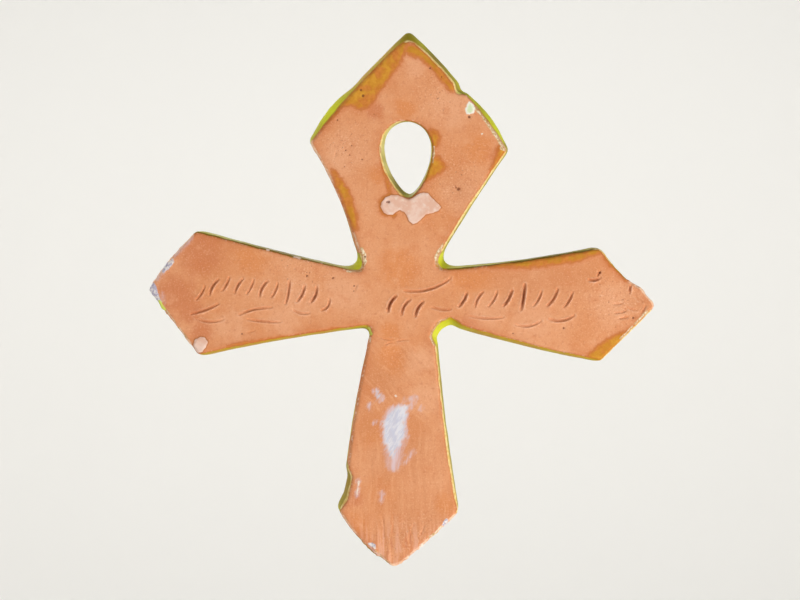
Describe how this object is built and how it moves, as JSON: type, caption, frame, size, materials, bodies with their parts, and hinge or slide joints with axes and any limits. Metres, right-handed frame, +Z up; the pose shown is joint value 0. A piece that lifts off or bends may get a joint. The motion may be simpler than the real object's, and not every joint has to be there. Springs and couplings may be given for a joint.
{
  "type": "ceramic cross",
  "caption": "Flat wall cross of fired clay with flaring, pointed arms, a teardrop hanging hole in the top arm, a glazed front and a bare clay back.",
  "frame": {"origin": "on the plane of the flat back face, at the top of the hanging hole's rim, where the nail it hangs on bears", "axes": "+Z up along the top arm, +Y out of the flat bare back towards the wall, +X to the left of someone who faces the back"},
  "size_m": [0.1489, 0.0125, 0.1589],
  "materials": {
    "fired_clay": "matte bare clay on the back, glossy yellow-green glaze on the walls and the front"
  },
  "bodies": {
    "root": {"ceramic_cross": "fired_clay"}
  },
  "joints": []
}
